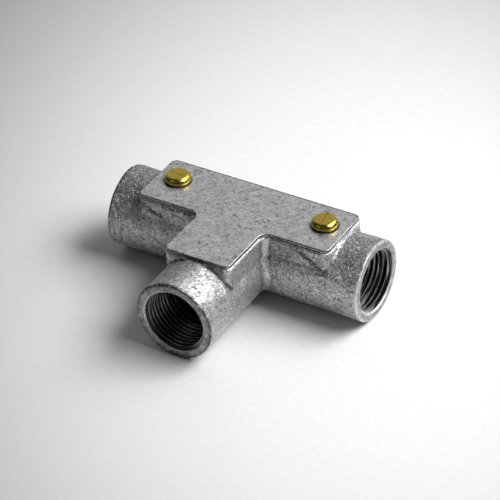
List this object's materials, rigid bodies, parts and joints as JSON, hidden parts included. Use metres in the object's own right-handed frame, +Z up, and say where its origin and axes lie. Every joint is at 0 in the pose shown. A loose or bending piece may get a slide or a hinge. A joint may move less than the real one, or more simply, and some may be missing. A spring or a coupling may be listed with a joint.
{
  "type": "conduit tee",
  "caption": "Galvanised inspection tee for steel conduit: a T-shaped box with a threaded socket at each end and a screwed T-shaped cover plate.",
  "frame": {"origin": "under the middle of the tee, on the surface that its barrels rest on", "axes": "+X along the straight run, -Y out of the branch, +Z up through the cover plate"},
  "size_m": [0.085, 0.0562, 0.0287],
  "materials": {
    "galvanised_casting": "rough cast surface with a mottled zinc coat",
    "galvanised_plate": "flat mottled zinc coat with fine scratches",
    "brass": "bright turned brass"
  },
  "bodies": {
    "body": {"casting": "galvanised_casting"},
    "cover": {"cover_plate": "galvanised_plate"},
    "left_screw": {"screw_left": "brass"},
    "right_screw": {"screw_right": "brass"}
  },
  "joints": [
    {"name": "cover_lift", "type": "slide", "parent": "body", "child": "cover", "axis": [0, 0, 1], "range_m": [0, 0.02]},
    {"name": "screw_left_turn", "type": "hinge", "parent": "cover", "child": "left_screw", "pos_m": [-0.025, 0.0165, 0.02625], "axis": [0, 0, 1], "range_deg": [0, 2520]},
    {"name": "screw_right_turn", "type": "hinge", "parent": "cover", "child": "right_screw", "pos_m": [0.025, 0.0165, 0.02625], "axis": [0, 0, 1], "range_deg": [0, 2520]}
  ]
}
